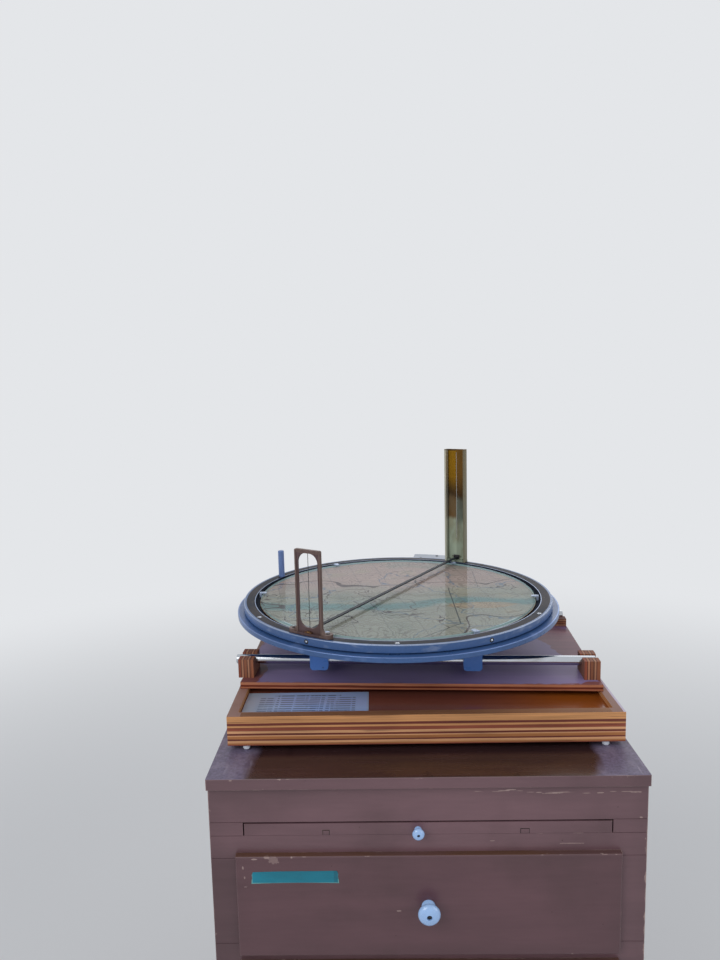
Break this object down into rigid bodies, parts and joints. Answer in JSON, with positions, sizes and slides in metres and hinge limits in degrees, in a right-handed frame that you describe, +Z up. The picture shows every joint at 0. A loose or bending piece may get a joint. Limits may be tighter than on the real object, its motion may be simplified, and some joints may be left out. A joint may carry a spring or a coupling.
{
  "type": "fire finder on drawer cabinet",
  "caption": "Round azimuth sighting table with turning ring, front and rear sights and glass-covered map, sliding on rods over a turned plywood board, standing on a painted drawer cabinet.",
  "frame": {"origin": "on the floor under the middle of the cabinet", "axes": "+Z up, the cabinet's front with its knobs faces -Y, +X to the right seen from the front"},
  "size_m": [0.6917, 0.7632, 1.5563],
  "materials": {
    "cabinet_paint": "worn satin paint",
    "drawer_wood": "raw",
    "plywood": "raw edges",
    "board_paint": "painted face, raw edges",
    "bumper": "matt",
    "sheet": "laminated",
    "chrome": "polished",
    "casting_paint": "satin",
    "ring_paint": "satin",
    "bronze": "aged",
    "tape_metal": "dark",
    "hair": "matt",
    "map_backing": "raw",
    "map_paper": "printed",
    "glass": "clear",
    "knob_ceramic": "glazed"
  },
  "bodies": {
    "cabinet": {"cabinet_top": "cabinet_paint", "top_lipping": "cabinet_paint", "face_frame": "cabinet_paint", "left_side": "cabinet_paint", "right_side": "cabinet_paint", "back_panel": "cabinet_paint", "cabinet_bottom": "cabinet_paint", "floor_bearer": "cabinet_paint", "base_lower": "plywood", "base_upper": "plywood", "instruction_sheet": "sheet", "swivel_board": "board_paint", "foot_front_left": "bumper", "foot_front_right": "bumper", "foot_rear_left": "bumper", "foot_rear_right": "bumper", "rod_block_front_left": "plywood", "rod_block_front_right": "plywood", "rod_block_rear_left": "plywood", "rod_block_rear_right": "plywood", "front_rod": "chrome", "rear_rod": "chrome"},
    "map_carriage": {"base_casting": "casting_paint", "map_board": "map_backing", "map_sheet": "map_paper", "map_glass": "glass"},
    "sight_ring": {"azimuth_ring": "ring_paint", "scale_band": "bronze", "front_sight": "bronze", "sight_hair": "hair", "rear_sight": "bronze", "sight_tape": "tape_metal", "index_plate": "ring_paint", "handle_peg": "ring_paint"},
    "shelf": {"pullout_shelf": "cabinet_paint", "shelf_knob": "knob_ceramic"},
    "drawer_1": {"drawer_front_1": "cabinet_paint", "drawer_box_1": "drawer_wood", "drawer_knob_1": "knob_ceramic"},
    "drawer_2": {"drawer_front_2": "cabinet_paint", "drawer_box_2": "drawer_wood", "drawer_knob_2": "knob_ceramic"},
    "drawer_3": {"drawer_front_3": "cabinet_paint", "drawer_box_3": "drawer_wood", "drawer_knob_3": "knob_ceramic"},
    "drawer_4": {"drawer_front_4": "cabinet_paint", "drawer_box_4": "drawer_wood", "drawer_knob_4": "knob_ceramic"},
    "drawer_5": {"drawer_front_5": "cabinet_paint", "drawer_box_5": "drawer_wood", "drawer_knob_5": "knob_ceramic"}
  },
  "joints": [
    {"name": "carriage_slide", "type": "slide", "parent": "cabinet", "child": "map_carriage", "axis": [0.9986, -0.052, 0], "range_m": [-0.095, 0.17]},
    {"name": "ring_turn", "type": "hinge", "parent": "map_carriage", "child": "sight_ring", "pos_m": [-0.03184, 0.0432, 1.284], "axis": [0, 0, 1], "continuous": true},
    {"name": "shelf_slide", "type": "slide", "parent": "cabinet", "child": "shelf", "axis": [0, -1, 0], "range_m": [0, 0.4]},
    {"name": "drawer_1_slide", "type": "slide", "parent": "cabinet", "child": "drawer_1", "axis": [0, -1, 0], "range_m": [0, 0.42]},
    {"name": "drawer_2_slide", "type": "slide", "parent": "cabinet", "child": "drawer_2", "axis": [0, -1, 0], "range_m": [0, 0.42]},
    {"name": "drawer_3_slide", "type": "slide", "parent": "cabinet", "child": "drawer_3", "axis": [0, -1, 0], "range_m": [0, 0.42]},
    {"name": "drawer_4_slide", "type": "slide", "parent": "cabinet", "child": "drawer_4", "axis": [0, -1, 0], "range_m": [0, 0.42]},
    {"name": "drawer_5_slide", "type": "slide", "parent": "cabinet", "child": "drawer_5", "axis": [0, -1, 0], "range_m": [0, 0.42]}
  ]
}
